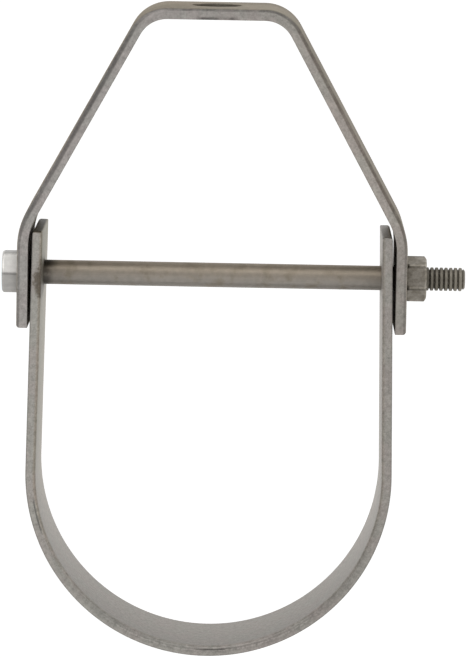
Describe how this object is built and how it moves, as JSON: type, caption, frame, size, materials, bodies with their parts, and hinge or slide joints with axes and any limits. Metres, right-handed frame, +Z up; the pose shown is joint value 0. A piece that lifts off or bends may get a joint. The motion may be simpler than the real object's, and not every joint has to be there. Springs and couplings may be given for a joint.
{
  "type": "clevis hanger",
  "caption": "Clevis hanger of bent flat strap: a yoke hangs from a threaded rod, and a round saddle on its cross bolt carries a horizontal pipe.",
  "frame": {"origin": "centre of the rod hole, on the underside of the yoke's top plate", "axes": "+Z up along the hanger rod; +Y along the pipe; +X along the cross bolt, from its head to its nut"},
  "size_m": [0.1246, 0.0318, 0.1741],
  "materials": {
    "strap_steel": "dull pickled stainless strap, rolled edges",
    "bolt_steel": "drawn stainless bolt, satin",
    "nut_steel": "dull stainless nut"
  },
  "bodies": {
    "yoke": {"yoke": "strap_steel", "cross_bolt": "bolt_steel", "hex_nut": "nut_steel"},
    "saddle": {"saddle_strap": "strap_steel"}
  },
  "joints": [
    {"name": "saddle_swing", "type": "hinge", "parent": "yoke", "child": "saddle", "pos_m": [0, 0, -0.06965], "axis": [1, 0, 0], "range_deg": [-6.5, 6.5]}
  ]
}
